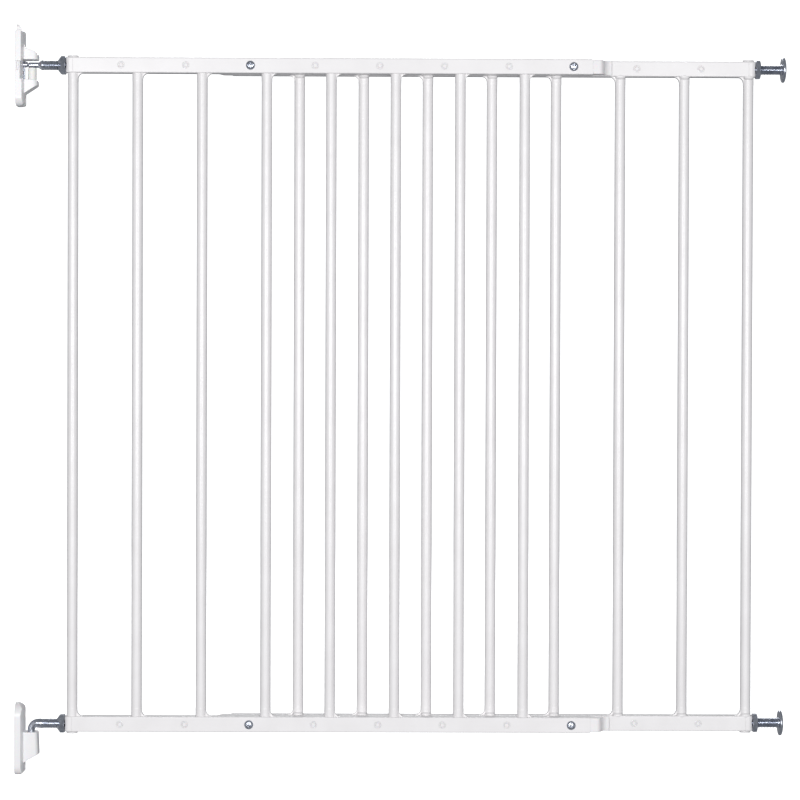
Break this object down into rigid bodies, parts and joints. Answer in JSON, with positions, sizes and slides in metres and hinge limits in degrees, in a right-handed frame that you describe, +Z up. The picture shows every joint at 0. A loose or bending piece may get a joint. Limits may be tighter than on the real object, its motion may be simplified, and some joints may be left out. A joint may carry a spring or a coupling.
{
  "type": "safety baby gate",
  "caption": "Extending wall-mounted safety gate: two overlapping barred panels swing on pins in wall brackets, with a lift-off lock and threaded disc stops.",
  "frame": {"origin": "on the lower wall bracket's wall face, level with the lower rails' centreline, in the hinge pins' plane", "axes": "+X along the closed gate away from the hinge wall, +Y into the guarded room, +Z up"},
  "size_m": [0.7524, 0.0446, 0.7318],
  "materials": {
    "white_powder_coat": "satin powder coat",
    "zinc_plate": "bright zinc plate",
    "bracket_plastic": "semi-gloss moulded",
    "plug_plastic": "satin moulded",
    "bush_plastic": "satin moulded"
  },
  "bodies": {
    "wall_brackets": {"lower_wall_bracket": "bracket_plastic", "upper_wall_bracket": "bracket_plastic", "upper_keeper": "zinc_plate", "lower_socket_bush": "bush_plastic"},
    "lock_slider": {"lock_slider": "bracket_plastic"},
    "lower_disc_bolt": {"lower_disc_bolt": "zinc_plate"},
    "upper_disc_bolt": {"upper_disc_bolt": "zinc_plate"},
    "lower_disc_jam_nut": {"lower_disc_jam_nut": "zinc_plate"},
    "upper_disc_jam_nut": {"upper_disc_jam_nut": "zinc_plate"},
    "lower_hinge_lock_nut": {"lower_hinge_lock_nut": "zinc_plate"},
    "upper_hinge_lock_nut": {"upper_hinge_lock_nut": "zinc_plate"},
    "gate": {"front_lower_rail": "white_powder_coat", "front_lower_corner_block": "white_powder_coat", "front_lower_thread_insert": "zinc_plate", "front_lower_end_plug": "plug_plastic", "front_upper_rail": "white_powder_coat", "front_upper_corner_block": "white_powder_coat", "front_upper_thread_insert": "zinc_plate", "front_upper_end_plug": "plug_plastic", "front_bar_1": "white_powder_coat", "front_bar_2": "white_powder_coat", "front_bar_3": "white_powder_coat", "front_bar_4": "white_powder_coat", "front_bar_5": "white_powder_coat", "front_bar_6": "white_powder_coat", "front_bar_7": "white_powder_coat", "front_bar_8": "white_powder_coat", "front_panel_gussets": "white_powder_coat", "front_hole_caps": "plug_plastic", "front_panel_weld_collars": "white_powder_coat", "rear_lower_rail": "white_powder_coat", "rear_lower_corner_block": "white_powder_coat", "rear_lower_thread_insert": "zinc_plate", "rear_lower_end_plug": "plug_plastic", "rear_upper_rail": "white_powder_coat", "rear_upper_corner_block": "white_powder_coat", "rear_upper_thread_insert": "zinc_plate", "rear_upper_end_plug": "plug_plastic", "rear_bar_1": "white_powder_coat", "rear_bar_2": "white_powder_coat", "rear_bar_3": "white_powder_coat", "rear_bar_4": "white_powder_coat", "rear_bar_5": "white_powder_coat", "rear_bar_6": "white_powder_coat", "rear_bar_7": "white_powder_coat", "rear_bar_8": "white_powder_coat", "rear_panel_gussets": "white_powder_coat", "rear_hole_caps": "plug_plastic", "rear_panel_weld_collars": "white_powder_coat", "lower_hinge_pin": "zinc_plate", "upper_hinge_pin": "zinc_plate", "clamp_screws": "zinc_plate", "clamp_lock_nuts": "zinc_plate", "upper_pin_sleeve": "bush_plastic"}
  },
  "joints": [
    {"name": "gate_swing", "type": "hinge", "parent": "wall_brackets", "child": "gate", "pos_m": [0.0148, 0, 0], "axis": [0, 0, 1], "range_deg": [-90, 85]},
    {"name": "lock_slide", "type": "slide", "parent": "wall_brackets", "child": "lock_slider", "axis": [0, 0, 1], "range_m": [0, 0.012]},
    {"name": "lower_disc_adjust", "type": "slide", "parent": "gate", "child": "lower_disc_bolt", "axis": [1, 0, 0], "range_m": [-0.016, 0.018]},
    {"name": "lower_jam_nut_spin", "type": "hinge", "parent": "gate", "child": "lower_disc_jam_nut", "pos_m": [0.7232, 0.0148, 0], "axis": [1, 0, 0], "continuous": true},
    {"name": "lower_lock_nut_spin", "type": "hinge", "parent": "gate", "child": "lower_hinge_lock_nut", "pos_m": [0.0477, 0, 0], "axis": [1, 0, 0], "continuous": true},
    {"name": "upper_disc_adjust", "type": "slide", "parent": "gate", "child": "upper_disc_bolt", "axis": [1, 0, 0], "range_m": [-0.016, 0.018]},
    {"name": "upper_jam_nut_spin", "type": "hinge", "parent": "gate", "child": "upper_disc_jam_nut", "pos_m": [0.7232, 0.0148, 0.643], "axis": [1, 0, 0], "continuous": true},
    {"name": "upper_lock_nut_spin", "type": "hinge", "parent": "gate", "child": "upper_hinge_lock_nut", "pos_m": [0.0477, 0, 0.643], "axis": [1, 0, 0], "continuous": true}
  ]
}
